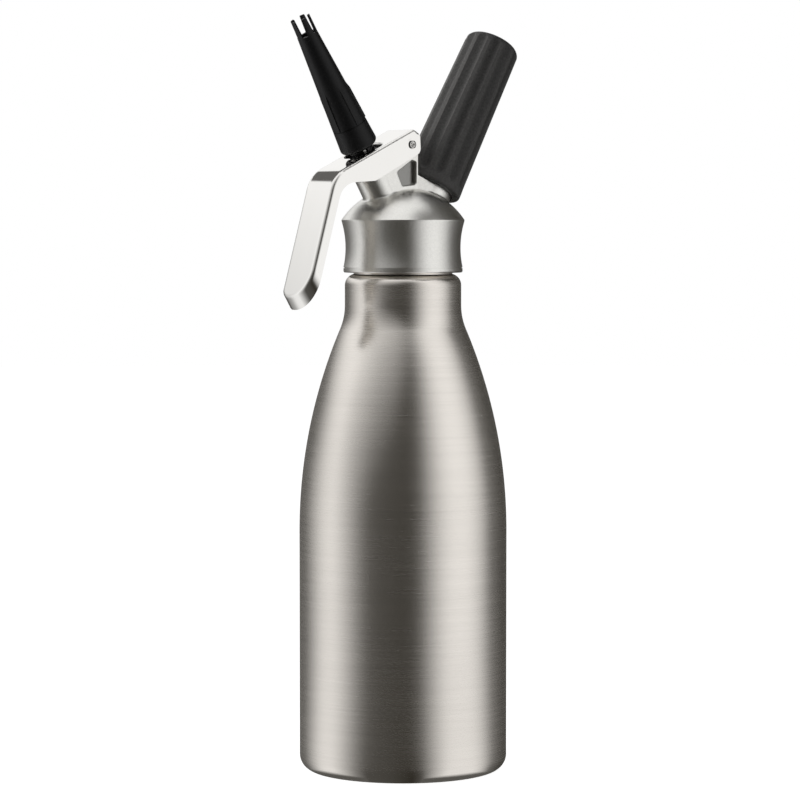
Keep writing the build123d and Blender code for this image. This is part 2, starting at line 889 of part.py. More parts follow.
def bend_corner(inset):
    """Corner of the strap's and the handle's faces, moved in by a sheet's thickness."""
    return crossing(
        strap_point(0.0, inset),
        strap_point(strap_length, inset),
        handle_point(0.0, inset),
        handle_point(handle_length, inset),
    )


def toe_point(below, inset):
    """Front-view point on the toe's slanting wall in from the outer face, moved in by a sheet's thickness."""
    slant = math.hypot(toe_set_back, handle_depth)
    along = handle_length - toe_set_back + (below * toe_set_back - inset * slant) / handle_depth
    return handle_point(along, below)


inner_corner = crossing(
    strap_point(lobe_along, lobe_depth),
    strap_point(taper_along, taper_depth),
    handle_point(0.0, handle_depth),
    handle_point(handle_length, handle_depth),
)
toe = (toe_point(0.0, 0.0), toe_point(handle_depth, 0.0))
lever_half_width = lever_width / 2


def toe_corners(inset):
    """Corners that the rounded toe lacks, swept along the slant of its wall, moved in by inset."""
    lean = math.radians(handle_lean)
    start = toe_point(-lever_sheet, inset)
    end = toe_point(cavity_overrun, inset)
    face = Plane(
        origin=(start[0], 0, start[1]),
        x_dir=(-math.sin(lean), 0, -math.cos(lean)),
        z_dir=(-math.cos(lean), 0, math.sin(lean)),
    )
    half = lever_half_width - inset
    with BuildPart() as corners:
        with BuildSketch(face):
            for side, plan_radius in ((1, toe_near_radius), (-1, toe_far_radius)):
                radius = plan_radius - inset
                with BuildLine():
                    TangentArc((-radius, side * half), (0, side * (half - radius)), tangent=(1, 0))
                    Polyline(
                        (0, side * (half - radius)),
                        (radius, side * (half - radius)),
                        (radius, side * (half + radius)),
                        (-radius, side * (half + radius)),
                        (-radius, side * half),
                    )
                make_face()
        extrude(amount=math.dist(start, end), dir=(end[0] - start[0], 0, end[1] - start[1]))
    return corners.part


toe_corners_outside = toe_corners(0.0)
toe_corners_inside = toe_corners(lever_sheet)

with BuildPart() as lever_hollow:
    with BuildSketch(Plane.XZ):
        with BuildLine():
            FilletPolyline(
                strap_point(-cavity_overrun, lever_sheet),
                bend_corner(lever_sheet),
                toe_point(lever_sheet, lever_sheet),
                toe_point(cavity_overrun, lever_sheet),
                strap_point(-cavity_overrun, cavity_overrun),
                radius=(0, bend_radius - lever_sheet, 0, 0, 0),
                close=True,
            )
        make_face()
    extrude(amount=lever_half_width - lever_sheet, both=True)
    add(toe_corners_inside, mode=Mode.SUBTRACT)

with BuildPart() as lever:
    with BuildSketch(Plane.XZ):
        with BuildLine():
            FilletPolyline(
                strap_point(-strap_tip, 0.0),
                bend_corner(0.0),
                toe[0],
                toe[1],
                inner_corner,
                strap_point(lobe_along, lobe_depth),
                strap_point(-strap_tail, cheek_depth),
                strap_point(-tail_top_along, tail_top_below),
                radius=(
                    0,
                    bend_radius,
                    0,
                    0,
                    inner_bend_radius,
                    lobe_rounding,
                    tail_bottom_rounding,
                    tail_top_rounding,
                ),
                close=True,
            )
        make_face()
    extrude(amount=lever_half_width, both=True)
    add(toe_corners_outside, mode=Mode.SUBTRACT)
    # The rounding runs on round the whole outer face
    strap_middle = strap_point(strap_length / 2, 0.0)
    strap_edge = lever.edges().sort_by_distance((strap_middle[0], -lever_half_width, strap_middle[1]))[0]
    fillet(strap_edge, lever_edge_rounding)
    add(lever_hollow.part, mode=Mode.SUBTRACT)
    # Slot for the valve's hub
    turn = math.radians(strap_slope)
    slot_middle = strap_point((slot_start + slot_end) / 2, 0.0)
    with BuildSketch(
        Plane(
            origin=(slot_middle[0], 0, slot_middle[1]),
            x_dir=(math.cos(turn), 0, math.sin(turn)),
            z_dir=(-math.sin(turn), 0, math.cos(turn)),
        )
    ):
        RectangleRounded(slot_end - slot_start, 2 * slot_half_width, slot_corner_radius)
    extrude(amount=2 * lever_sheet, both=True, mode=Mode.SUBTRACT)
    # Holes for the pin
    with BuildSketch(Plane.XZ):
        with Locations(pivot):
            Circle(pin_radius + running_fit)
    extrude(amount=lever_half_width + face_gap, both=True, mode=Mode.SUBTRACT)
    for side in (-1, 1):
        with BuildSketch(Plane(origin=(pivot_x, side * lever_half_width, pivot_z), z_dir=(0, -side, 0))):
            Circle(pin_recess_radius)
        extrude(amount=pin_recess_depth, mode=Mode.SUBTRACT)
written(lever, "lever")

with BuildPart() as lever_pin:
    pin_half = lever_half_width + pin_proud
    with BuildSketch(Plane(origin=(pivot_x, 0, pivot_z))):
        with BuildLine():
            Polyline(
                (0, pin_dimple_depth - pin_half),
                (pin_dimple_radius, -pin_half),
                (pin_radius - pin_chamfer, -pin_half),
                (pin_radius, pin_chamfer - pin_half),
                (pin_radius, pin_half - pin_chamfer),
                (pin_radius - pin_chamfer, pin_half),
                (pin_dimple_radius, pin_half),
                (0, pin_half - pin_dimple_depth),
                close=True,
            )
        make_face()
    revolve(axis=Axis((pivot_x, 0, pivot_z), (0, 1, 0)))
written(lever_pin, "lever_pin")

# Charger side
with BuildPart() as piercing_pin:
    with BuildSketch(section_of(charger_line)):
        with BuildLine():
            Polyline(
                (needle_gas_radius, needle_gas_end),
                (0, needle_gas_end),
                (0, needle_stem_end),
                (needle_stem_radius, needle_stem_end),
                (needle_stem_radius, charger_bore_floor),
                (needle_flange_radius, charger_bore_floor),
                (needle_flange_radius, needle_flange_top),
                (needle_radius, needle_flange_top),
                (needle_radius, needle_tip - 2 * needle_radius),
                (needle_gas_radius + needle_point / 2, needle_tip),
                (needle_gas_radius, needle_tip),
                close=True,
            )
        make_face()
    revolve(axis=charger_axis)
    with BuildSketch(Plane(origin=slanted(charger_line, needle_port_level), z_dir=(0, 1, 0))):
        Circle(needle_port_radius)
    extrude(amount=needle_stem_radius + face_gap, both=True, mode=Mode.SUBTRACT)
written(piercing_pin, "piercing_pin")

turned(
    "charger_seal",
    charger_line,
    (
        (charger_seal_inner, needle_flange_top),
        (charger_seal_outer, needle_flange_top),
        (charger_seal_outer, charger_seal_top - face_gap),
        (charger_seal_inner, charger_seal_top - face_gap),
    ),
)
inlet_seal_bottom = inlet_seat - face_gap - inlet_seal_thickness
turned(
    "inlet_seal",
    charger_line,
    (
        (needle_stem_radius + running_fit, inlet_seal_bottom),
        (inlet_seal_radius, inlet_seal_bottom),
        (inlet_seal_radius, inlet_seal_bottom + inlet_seal_thickness),
        (needle_stem_radius + running_fit, inlet_seal_bottom + inlet_seal_thickness),
    ),
)
hex_nut(
    "inlet_nut",
    charger_line,
    inlet_seal_bottom - inlet_nut_height,
    inlet_nut_height,
    inlet_nut_flats,
    needle_stem_radius + running_fit,
)
turned(
    "non_return_sleeve",
    charger_line,
    (
        (needle_stem_radius + pin_fit, sleeve_bottom),
        (sleeve_radius, sleeve_bottom),
        (sleeve_radius, sleeve_top),
        (needle_stem_radius + pin_fit, sleeve_top),
    ),
)

with BuildPart() as gas_charger:
    dome_start = charger_end - charger_radius
    inner_radius = charger_radius - charger_wall
    with BuildSketch(section_of(charger_line)):
        with BuildLine():
            Polyline(
                (charger_hole_radius, charger_seal_top),
                (charger_neck_radius, charger_seal_top),
                (charger_neck_radius, charger_neck_top),
                (charger_radius, charger_shoulder_top),
                (charger_radius, dome_start),
            )
            RadiusArc((charger_radius, dome_start), (0, charger_end), -charger_radius)
            Line((0, charger_end), (0, charger_end - charger_wall))
            RadiusArc((0, charger_end - charger_wall), (inner_radius, dome_start), inner_radius)
            Polyline(
                (inner_radius, dome_start),
                (inner_radius, charger_shoulder_top),
                (charger_neck_radius - charger_wall, charger_neck_top),
                (charger_neck_radius - charger_wall, charger_seal_top + charger_lip),
                (charger_hole_radius, charger_seal_top + charger_lip),
                (charger_hole_radius, charger_seal_top),
            )
        make_face()
    revolve(axis=charger_axis)
written(gas_charger, "gas_charger")


def holder_radius(along):
    """Outside radius of the charger holder's cone."""
    share = (along - holder_bottom) / (holder_top - holder_bottom)
    return holder_bottom_radius + share * (holder_top_radius - holder_bottom_radius)


with BuildPart() as charger_holder:
    bore_end = charger_end - charger_radius
    bore_reach = charger_end + holder_bore_radius - charger_radius
    crown_edge = holder_top - holder_crown
    crown_corner = (holder_radius(crown_edge), crown_edge)
    foot_corner = (holder_bottom_radius, holder_bottom)
    with BuildSketch(section_of(charger_line)) as holder_profile:
        with BuildLine():
            Polyline((0, holder_top), (0, bore_reach))
            RadiusArc((0, bore_reach), (holder_bore_radius, bore_end), holder_bore_radius)
            Polyline(
                (holder_bore_radius, bore_end),
                (holder_bore_radius, holder_mouth_end),
                (holder_mouth_radius, holder_mouth_end),
                (holder_mouth_radius, holder_bottom),
                foot_corner,
                crown_corner,
            )
            crown_radius = (crown_corner[0] ** 2 + holder_crown ** 2) / (2 * holder_crown)
            RadiusArc(crown_corner, (0, holder_top), -crown_radius)
        make_face()
        fillet(holder_profile.vertices().sort_by_distance(crown_corner)[0], holder_top_rounding)
        fillet(holder_profile.vertices().sort_by_distance(foot_corner)[0], holder_bottom_rounding)
    revolve(axis=charger_axis)
    # Grip flutes
    frame = across(charger_line, 0.0)
    flute_out = flute_radius - flute_depth
    for index in range(flute_count):
        turn = math.tau * index / flute_count
        radial = frame.x_dir * math.cos(turn) + frame.y_dir * math.sin(turn)
        foot = frame.origin + frame.z_dir * flute_start + radial * (holder_radius(flute_start) + flute_out)
        head_end = holder_top + flute_overrun
        tip = frame.origin + frame.z_dir * head_end + radial * (holder_radius(head_end) + flute_out)
        with BuildSketch(Plane(origin=foot, z_dir=tip - foot)):
            Circle(flute_radius)
        extrude(amount=(tip - foot).length, mode=Mode.SUBTRACT)
        with Locations(Location(foot)):
            Sphere(flute_radius, mode=Mode.SUBTRACT)
written(charger_holder, "charger_holder")
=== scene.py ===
"""Cream whipper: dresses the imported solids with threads, a coiled spring and their finishes.

Lengths are in metres and the frame is the solids' own: base at the origin, +Z up,
nozzle and lever towards -X.
"""

import math

import bmesh
import bpy
from bpy.props import FloatProperty, FloatVectorProperty, IntProperty, PointerProperty
from mathutils import Matrix, Vector


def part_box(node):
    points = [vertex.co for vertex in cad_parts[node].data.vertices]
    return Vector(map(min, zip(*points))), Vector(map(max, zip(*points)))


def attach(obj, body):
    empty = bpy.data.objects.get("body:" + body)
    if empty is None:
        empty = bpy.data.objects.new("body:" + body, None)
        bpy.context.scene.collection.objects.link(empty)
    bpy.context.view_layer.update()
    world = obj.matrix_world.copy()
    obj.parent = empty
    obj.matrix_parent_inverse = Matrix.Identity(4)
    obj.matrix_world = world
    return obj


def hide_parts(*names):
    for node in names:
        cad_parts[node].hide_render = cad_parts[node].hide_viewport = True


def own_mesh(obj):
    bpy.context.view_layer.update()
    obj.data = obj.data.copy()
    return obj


bl_info = {
    "name": "Cream Whipper",
    "version": (1, 0, 0),
    "blender": (4, 5, 0),
    "location": "View3D > Sidebar > Whipper",
    "description": "Builds the visible cream whipper round its packed solids",
    "category": "Object",
}

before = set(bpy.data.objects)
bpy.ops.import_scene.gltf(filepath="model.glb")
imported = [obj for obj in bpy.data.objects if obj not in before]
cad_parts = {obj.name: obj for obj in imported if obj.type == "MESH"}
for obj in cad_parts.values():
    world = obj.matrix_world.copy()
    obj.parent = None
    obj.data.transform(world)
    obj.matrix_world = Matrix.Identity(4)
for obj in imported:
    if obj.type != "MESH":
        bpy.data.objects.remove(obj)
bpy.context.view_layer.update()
BOTTLE_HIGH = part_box("bottle")[1]

# Points of a new mesh that lie closer together than this become one
MERGE_DISTANCE = 1e-7
# A point of a turned outline that is nearer to the axis than this lies on it
AXIS_REACH = 1e-9
# Heights of the rows that divide the faces of the bottle's barrel
BARREL_ROWS = (0.02, 0.05, 0.08)
# Section of a thread's ridge: shares of its height outwards, and of its pitch along the axis
THREAD_SECTION = (
    (-0.35, -0.36),
    (0.8, -0.16),
    (1.0, -0.09),
    (1.0, 0.09),
    (0.8, 0.16),
    (-0.35, 0.36),
)
# Size of a thread's ridge at its very end, and how much it grows with each turn from there
THREAD_END = 0.05
THREAD_GROWTH = 6.0
# Stretches of the spring's wire in a turn, and sides of the wire
SPRING_STEPS = 40
WIRE_SIDES = 12
# Frequency, per metre, of the grain that spark erosion leaves in a mould
SPARK_GRAIN = (2300, 2300, 2300)
# Widths over which the painted shade in the web's pockets fades in and the lever's bends turn soft
POCKET_SHADE_EDGE = 0.00025
BEND_EDGE = 0.001
# Share of the pin's radius that keeps its plain colour, and the share over which painted shade darkens its
# rim
PIN_UNSHADED = 0.78
PIN_SHADE_EDGE = 0.125

# Point that lamps and flags face
AIM = Vector((0, 0, 0.25))
# Watts from each square metre of a lamp's face at level 1
LAMP_WATTS = 4.0
# Name, turn off the camera's side and rise, both in degrees, distance from the aim, width and height
LAMPS = (
    ("lamp_left", -88, 10, 1.7, 1.1, 1.8),
    ("lamp_right", 68, 10, 1.7, 1.3, 1.8),
    ("lamp_top", 20, 75, 1.8, 1.6, 1.6),
)
# The same columns for the dark flags, and how much each one covers
FLAGS = (
    ("flag_edge", 62, 58, 0.6, 0.34, 0.3, 0.92),
    ("flag_left", -130, 48, 0.6, 0.44, 0.4, 0.9),
    ("flag_right", 128, 42, 0.6, 0.66, 0.46, 0.97),
)
# Share of a flag's half width over which its edge thins out
FLAG_EDGE = 1 / 9
# Turn off the camera's side in degrees, positive to its right, how dark the tent is there,
# the height in metres where it begins to thin out and the height over which it does
TENT = (
    (-180, 0.9, 0.25, 0.16),
    (-150, 0.92, 0.25, 0.16),
    (-130, 0.9, 0.25, 0.16),
    (-112, 0.56, 0.25, 0.16),
    (-98, 0.18, 0.25, 0.16),
    (-82, 0.0, 0.3, 0.16),
    (-66, 0.37, 0.3, 0.4),
    (-50, 0.77, 0.12, 0.75),
    (-38, 0.95, 0.14, 0.8),
    (-10, 0.97, 0.3, 0.8),
    (10, 1.0, 0.5, 0.8),
    (19, 0.95, 0.5, 0.6),
    (31, 0.55, 0.5, 0.3),
    (44, 0.15, 0.45, 0.2),
    (56, 0.0, 0.45, 0.16),
    (74, 0.02, 0.45, 0.16),
    (90, 0.32, 0.5, 0.16),
    (108, 0.9, 0.5, 0.16),
    (140, 0.98, 0.5, 0.16),
    (162, 0.95, 0.42, 0.16),
    (180, 0.9, 0.25, 0.16),
)
# Faces round the tent and the floor
STAGE_SEGMENTS = 96
# Greys of the floor: for the light it throws back, for the lamps' light on it as the camera sees it,
# for its own glow to the camera and for its glow in reflections
FLOOR_BOUNCE = 0.8
FLOOR_LIT = 0.5
FLOOR_GLOW = 0.945
FLOOR_MIRRORED = 1.0


def size(name, words, default, low=0.0):
    """Length property in metres."""
    return FloatProperty(name=name, description=words, default=default, min=low, precision=5, unit="LENGTH")


def angle(name, words, degrees):
    """Angle property, written in degrees."""
    return FloatProperty(name=name, description=words, default=math.radians(degrees), unit="ROTATION")


def number(name, words, default):
    """Property for a plain number that is never negative."""
    return FloatProperty(name=name, description=words, default=default, min=0)


def share(name, words, default):
    """Property for a share from 0 to 1."""
    return FloatProperty(name=name, description=words, default=default, min=0, max=1, subtype="FACTOR")


def paint(name, words, default):
    """Colour property."""
    return FloatVectorProperty(name=name, description=words, default=default, min=0, max=1, subtype="COLOR")


class BottleSizes(bpy.types.PropertyGroup):
    """Outline of the bottle and of the thread on its neck."""

    radius: size("Body radius", "Radius of the straight barrel", BOTTLE_HIGH.x)
    height: size("Height", "Height of the rim", BOTTLE_HIGH.z)
    wall: size("Wall", "Thickness of the drawn steel", 0.001)
    base_corner: size("Base corner", "Radius of the lower edge", 0.007)
    ring_inner: size("Ring inside", "Inner radius of the pressed ring in the base", 0.016)
    ring_outer: size("Ring outside", "Outer radius of the pressed ring in the base", 0.022)
    ring_rise: size("Ring rise", "Depth of the pressed ring", 0.0012)
    ring_run: size("Ring run", "Width of the pressed ring's sloping sides", 0.0009)
    ring_land: size("Ring land", "Width of the narrow flat faces beside the pressed ring", 0.001)
    barrel_top: size("Barrel top", "Height where the shoulder begins", 0.1045)
    shoulder: size("Shoulder radius", "Radius of the shoulder's long curve", 0.225)
    neck_fillet: size("Neck fillet", "Radius of the hollow between shoulder and neck", 0.027)
    neck_radius: size("Neck radius", "Outer radius of the neck", 0.0252)
    neck_top: size("Neck top", "Height where the neck turns in to the thread", 0.211)
    neck_corner: size("Neck corner", "Radius of the neck's upper edge", 0.005)
    rim_wall: size("Rim wall", "Thickness of the wall inside the thread", 0.0005)
    rim_round: size("Rim round", "Radius of the rolled rim", 0.0005)
    rim_drop: size("Rim drop", "Depth of the roll's foot below the top of the rim", 0.0009)
    thread_root: size("Thread root", "Radius between the thread's turns", 0.0214)
    thread_crest: size("Thread crest", "Radius over the thread's turns", 0.02215)
    thread_pitch: size("Thread pitch", "Rise of the neck's thread in a turn", 0.004)
    thread_start: size("Thread start", "Height of the thread's lower end over the neck's top", 0.0065)
    thread_stop: size("Thread stop", "Depth of the thread's upper end below the rim", 0.0022)
    segments: IntProperty(name="Segments", description="Faces round the bottle", default=192, min=24)


class ValveSizes(bpy.types.PropertyGroup):
    """Slanted axes, spring, spigot's thread, web's pockets, lever's bends and holder's flutes."""

    nozzle_lean: angle("Nozzle lean", "Lean of the nozzle's axis from upright", 30)
    nozzle_x: size("Nozzle datum X", "Place along X that the nozzle's axis starts from", 0.0013, -1)
    nozzle_z: size("Nozzle datum Z", "Height that the nozzle's axis starts from", 0.228)
    charger_lean: angle("Charger lean", "Lean of the charger's axis from upright", -29)
    charger_z: size("Charger datum Z", "Height that the charger's axis starts from", 0.2273)
    spring_foot: size("Spring foot", "Start of the spring along the nozzle's axis", 0.02905)
    spring_head: size("Spring head", "End of the spring along the nozzle's axis", 0.0398)
    spring_radius: size("Spring radius", "Mean radius of the coil", 0.00545)
    spring_wire: size("Spring wire", "Thickness of the spring's wire", 0.0011)
    spring_turns: number("Spring turns", "Open turns of the coil", 4.25)
    spigot_thread_root: size("Spigot thread root", "Radius between the thread's turns", 0.0106)
    spigot_thread_crest: size("Spigot thread crest", "Radius over the thread's turns", 0.01088)
    spigot_thread_foot: size("Spigot thread foot", "Start of the spigot's thread", 0.0316)
    spigot_thread_head: size("Spigot thread head", "End of the spigot's thread", 0.0386)
    spigot_thread_pitch: size("Spigot thread pitch", "Rise of the spigot's thread in a turn", 0.002)
    pocket_x: size("Pocket X", "Middle of the web's pockets along X", -0.004, -1)
    pocket_z: size("Pocket Z", "Middle of the web's pockets in height", 0.2593)
    pocket_wide: size("Pocket width", "Width of the web's pockets", 0.0105)
    pocket_tall: size("Pocket height", "Height of the web's pockets", 0.0118)
    pocket_face: size("Pocket face", "Distance from the middle plane where a pocket begins", 0.0078)
    strap_slope: angle("Strap slope", "Fall of the lever's strap", 25.4)
    handle_lean: angle("Handle lean", "Lean of the handle from upright", 15.8)
    bend_x: size("Bend X", "Place along X where the faces of strap and handle cross", -0.04282, -1)
    bend_z: size("Bend Z", "Height where the faces of strap and handle cross", 0.25846)
    bend_depth: size("Bend depth", "Depth below the lever's face that its bends soften", 0.0035)
    bend_soft: size("Bend softness", "Radius of the soft bends of the lever's sheet", 0.0016)
    holder_girth: size("Holder girth", "Radius of the holder's ridges, carried on to the datum", 0.01452)
    holder_taper: share("Holder taper", "Fall of that radius along the charger's axis", 0.02294)
    flute_depth: size("Flute depth", "Depth of the holder's flutes", 0.00085)


class Finishes(bpy.types.PropertyGroup):
    """Colours of the materials."""

    steel: paint("Bottle steel", "Brushed steel of the bottle", (0.845, 0.804, 0.753))
    aluminium: paint("Head aluminium", "Bead-blasted casting of the head", (0.86, 0.85, 0.815))
    chrome: paint("Lever chrome", "Polished plating of the lever", (0.895, 0.882, 0.855))
    machined: paint("Machined steel", "Bright turned pieces", (0.62, 0.61, 0.59))
    black: paint("Black plastic", "Nozzle and presser plate", (0.008, 0.008, 0.0085))
    holder: paint("Holder plastic", "Dark grey holder of the charger", (0.1, 0.098, 0.0955))
    rubber: paint("Rubber", "Seals and gaskets", (0.02, 0.02, 0.02))
    bush: paint("Bush plastic", "White guide of the stem", (0.8, 0.79, 0.75))


class StageSettings(bpy.types.PropertyGroup):
    """Floor, lamps, dark cloths and camera."""

    floor_radius: size("Floor radius", "Radius of the pale floor", 4.0)
    lamp_left: number("Left lamp level", "Brightness of the left lamp's face", 4.5)
    lamp_right: number("Right lamp level", "Brightness of the right lamp's face", 0.3)
    lamp_top: number("Top lamp level", "Brightness of the top lamp's face", 0.3)
    sky: share("Sky level", "Even light from all round", 0.14)
    tent_height: size("Tent height", "Height of the dark tent that metal reflects", 1.3)
    tent_radius: size("Tent radius", "Radius of the dark tent that metal reflects", 0.5)
    tent_foot: size("Tent foot", "Radius where the tent's floor begins", 0.0385)
    tent_lift: size("Tent lift", "Height of the tent's floor over the pale floor", 0.0001)
    tent_floor: share("Tent floor", "Least cover of the tent's floor", 0.1)
    contact: size("Contact shade", "Radius of the full shade under the bottle", 0.0435)
    contact_fade: size("Contact fade", "Width over which that shade thins out", 0.003)
    contact_cover: share("Contact cover", "Depth of the shade under the bottle", 0.92)
    cloth: paint("Cloth", "Dark cloth that metal reflects", (0.034, 0.031, 0.025))
    camera_turn: angle("Camera turn", "Turn of the camera from the -Y side towards -X", 36.5)
    camera_reach: size("Camera distance", "Distance of the camera from the bottle's axis", 1.45)
    camera_height: size("Camera height", "Height of the camera", 0.2399)
    camera_pitch: angle("Camera pitch", "Downward tilt of the camera", 3.108)
    camera_yaw: angle("Camera yaw", "Small turn of the view, positive to the right", -0.0516)
    lens: FloatProperty(
        name="Lens",
        description="Focal length on a 36 mm sensor",
        default=150.6,
        min=1,
        unit="CAMERA",
    )


class Value:
    """Socket of a node tree: arithmetic on it adds Math nodes."""

    def __init__(self, maker, socket):
        self.maker = maker
        self.socket = socket

    def math(self, operation, first, second=0.0, third=0.0):
        """Adds one Math node."""
        node = self.maker.node("ShaderNodeMath", {"operation": operation}, {0: first, 1: second, 2: third})
        return Value(self.maker, node.outputs[0])

    def __add__(self, other):
        return self.math("ADD", self, other)

    def __radd__(self, other):
        return self.math("ADD", other, self)

    def __sub__(self, other):
        return self.math("SUBTRACT", self, other)

    def __rsub__(self, other):
        return self.math("SUBTRACT", other, self)

    def __mul__(self, other):
        return self.math("MULTIPLY", self, other)

    def __rmul__(self, other):
        return self.math("MULTIPLY", other, self)

    def __pow__(self, other):
        return self.math("POWER", self, other)

    def __rpow__(self, other):
        return self.math("POWER", other, self)

    def __abs__(self):
        return self.math("ABSOLUTE", self)

    def least(self, other):
        """The smaller of two values."""
        return self.math("MINIMUM", self, other)

    def most(self, other):
        """The larger of two values."""
        return self.math("MAXIMUM", self, other)

    def bounded(self, low, high):
        """The value, kept between two ends."""
        return self.least(high).most(low)

    def ramp(self, width):
        """0 where the value is below 0, 1 where it is over a width, and a straight rise between."""
        return (self * (1.0 / width)).bounded(0.0, 1.0)


class Nodes:
    """Builder of one node tree."""

    def __init__(self, tree):
        self.tree = tree
        tree.nodes.clear()

    def node(self, kind, settings, links):
        """Adds a node, sets its own settings, then gives its sockets their values or links."""
        made = self.tree.nodes.new(kind)
        for key, value in settings.items():
            if key == "stops":
                ramp = made.color_ramp.elements
                while len(ramp) < len(value):
                    ramp.new(1.0)
                for element, (at, shade) in zip(ramp, value):
                    element.position = at
                    element.color = shade
            else:
                setattr(made, key, value)
        for key, value in links.items():
            self.feed(made.inputs[key], value)
        return made

    def feed(self, socket, value):
        """Links a socket to a value, or sets its constant."""
        if isinstance(value, Value):
            self.tree.links.new(value.socket, socket)
        elif isinstance(value, bpy.types.NodeSocket):
            self.tree.links.new(value, socket)
        else:
            socket.default_value = value

    def value(self, socket):
        """Wraps a socket of this tree."""
        return Value(self, socket)

    def shown(self):
        """1 for rays from the camera, from reflections and through glass, 0 for the light that falls."""
        seen = self.node("ShaderNodeLightPath", {}, {})
        rays = ("Is Camera Ray", "Is Glossy Ray", "Is Transmission Ray")
        camera, glossy, through = (self.value(seen.outputs[ray]) for ray in rays)
        return (camera + glossy + through).bounded(0.0, 1.0)


class Finish(Nodes):
    """Material made from nodes round one principled shader."""

    def __init__(self, name):
        self.material = bpy.data.materials.new(name)
        self.material.use_nodes = True
        super().__init__(self.material.node_tree)
        self.shader = self.node("ShaderNodeBsdfPrincipled", {}, {})
        self.output = self.node("ShaderNodeOutputMaterial", {}, {"Surface": self.shader.outputs[0]})
        self.place = self.node("ShaderNodeTexCoord", {}, {}).outputs["Object"]

    def axes(self):
        """Place on the piece, as one value for each axis."""
        split = self.node("ShaderNodeSeparateXYZ", {}, {0: self.place})
        return [self.value(socket) for socket in split.outputs]

    def noise(self, stretch, detail=3.0, rough=0.5):
        """Noise from 0 to 1 with its own frequency, per metre, along each axis."""
        scaled = self.node("ShaderNodeVectorMath", {"operation": "MULTIPLY"}, {0: self.place, 1: stretch})
        sockets = {"Vector": scaled.outputs[0], "Scale": 1.0, "Detail": detail, "Roughness": rough}
        return self.value(self.node("ShaderNodeTexNoise", {}, sockets).outputs[0])

    def mixed(self, part, first, second):
        """Colour between two colours by a value."""
        made = self.node("ShaderNodeMix", {"data_type": "RGBA"}, {0: part, 6: first, 7: second})
        return made.outputs[2]

    def softened(self, part, radius):
        """Normal that runs round the edges within a radius, where a value is 1."""
        flat = self.node("ShaderNodeNewGeometry", {}, {}).outputs["Normal"]
        soft = self.node("ShaderNodeBevel", {"samples": 8}, {"Radius": radius}).outputs[0]
        made = self.node("ShaderNodeMix", {"data_type": "VECTOR"}, {0: part, 4: flat, 5: soft})
        return made.outputs[1]

    def relief(self, height, depth, strength, normal=None):
        """Surface relief from a value, as deep as depth in metres, on the surface's normal or another."""
        sockets = {"Height": height, "Distance": depth, "Strength": strength}
        if normal is not None:
            sockets["Normal"] = normal
        made = self.node("ShaderNodeBump", {}, sockets)
        self.feed(self.shader.inputs["Normal"], made.outputs[0])

    def set(self, **sockets):
        """Gives the shader's own sockets their values or links; underscores stand for spaces."""
        for key, value in sockets.items():
            self.feed(self.shader.inputs[key.replace("_", " ").title().replace("Ior", "IOR")], value)
        return self.material

    def show(self, shader):
        """Puts another shader in the place of the principled one."""
        self.feed(self.output.inputs["Surface"], shader.outputs[0])
        return self.material


def tone(colour, part=1.0):
    """Colour as four numbers, lightened or darkened by a factor."""
    return (colour[0] * part, colour[1] * part, colour[2] * part, 1.0)


def grey(lightness):
    """Grey as four numbers."""
    return (lightness, lightness, lightness, 1.0)


def brushed_steel(colour):
    """Steel brushed round the bottle: fine level lines, longer streaks and faint handling marks."""
    finish = Finish("brushed_steel")
    fine = finish.noise((26, 26, 2400), detail=4.0, rough=0.65)
    broad = finish.noise((9, 9, 420), detail=3.0, rough=0.6)
    cloud = finish.noise((14, 14, 9), detail=2.0)
    streak = fine * 0.65 + broad * 0.35
    pale = ((streak - 0.5) * 1.3 + 0.5).bounded(0.0, 1.0)
    finish.relief(streak, depth=0.00003, strength=0.4)
    return finish.set(
        base_color=finish.mixed(pale, tone(colour, 0.86), tone(colour, 1.1)),
        metallic=1.0,
        roughness=fine * 0.12 + cloud * 0.08 + 0.16,
        anisotropic=0.55,
    )


def blasted_aluminium(colour, sizes):
    """Cast aluminium with the fine grain of bead blasting, and painted shade darkening the web's two
    pockets.
    """
    finish = Finish("blasted_aluminium")
    grain = finish.noise((2600, 2600, 2600), detail=2.0, rough=0.6)
    speckle = finish.noise((1150, 1150, 1150), detail=2.0, rough=0.6)
    pale = ((grain * 0.4 + speckle * 0.6 - 0.5) * 1.5 + 0.5).bounded(0.0, 1.0)
    x, y, z = finish.axes()
    # Painted shade: the colour darkens inside the web's two pockets, where the recess would shade itself
    deep = (sizes.pocket_face - abs(y)).ramp(POCKET_SHADE_EDGE)
    along = (sizes.pocket_wide / 2 - abs(x - sizes.pocket_x)).ramp(POCKET_SHADE_EDGE)
    up = (sizes.pocket_tall / 2 - abs(z - sizes.pocket_z)).ramp(POCKET_SHADE_EDGE)
    bright = finish.mixed(pale, tone(colour, 0.86), tone(colour, 1.1))
    finish.relief(grain, depth=0.00005, strength=0.8)
    return finish.set(
        base_color=finish.mixed(deep * along * up, bright, tone(colour, 0.44)),
        metallic=1.0,
        roughness=grain * 0.1 + 0.25,
    )


def polished_chrome(colour, sizes):
    """Plated and polished steel with a trace of smears, soft along the bends of the lever's sheet."""
    finish = Finish("polished_chrome")
    smear = finish.noise((60, 160, 60), detail=3.0)
    ripple = finish.noise((45, 45, 45), detail=1.0)
    x, _, z = finish.axes()
    across = x - sizes.bend_x
    up = z - sizes.bend_z
    below_strap = across * math.sin(sizes.strap_slope) - up * math.cos(sizes.strap_slope)
    behind_handle = across * math.cos(sizes.handle_lean) - up * math.sin(sizes.handle_lean)
    bends = (sizes.bend_depth - below_strap.least(behind_handle)).ramp(BEND_EDGE)
    normal = finish.softened(bends, sizes.bend_soft)
    finish.relief(ripple, depth=0.00004, strength=0.25, normal=normal)
    return finish.set(
        base_color=finish.mixed(smear, tone(colour, 0.97), tone(colour)),
        metallic=1.0,
        roughness=smear * 0.07 + 0.025,
    )


